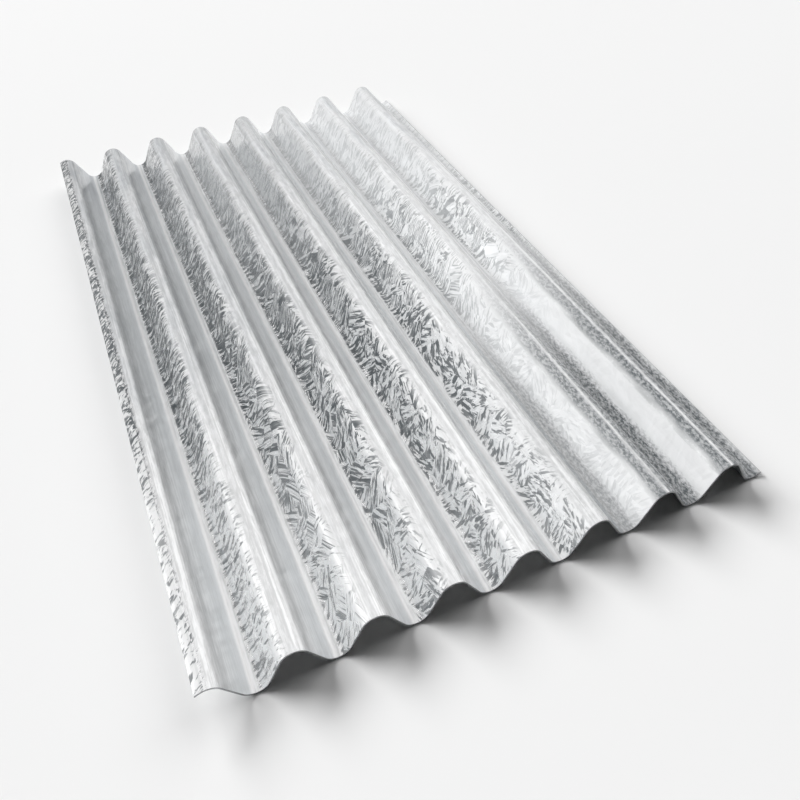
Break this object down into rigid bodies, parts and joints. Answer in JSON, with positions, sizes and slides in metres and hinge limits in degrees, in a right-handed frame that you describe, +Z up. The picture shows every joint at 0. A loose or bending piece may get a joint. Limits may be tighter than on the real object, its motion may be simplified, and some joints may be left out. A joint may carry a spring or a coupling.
{
  "type": "corrugated metal sheet",
  "caption": "Galvanised corrugated steel sheet with deep round waves, one long edge turned down and one turned up for a side lap.",
  "frame": {"origin": "middle of the sheet's footprint, on the level where its valleys rest", "axes": "+Y along the waves, +X across them from the edge that is turned down to the edge that is turned up, +Z up"},
  "size_m": [0.5918, 1, 0.042],
  "materials": {
    "galvanised_steel": "hot-dip galvanised, spangled, satin"
  },
  "bodies": {
    "root": {"corrugated_sheet": "galvanised_steel"}
  },
  "joints": []
}
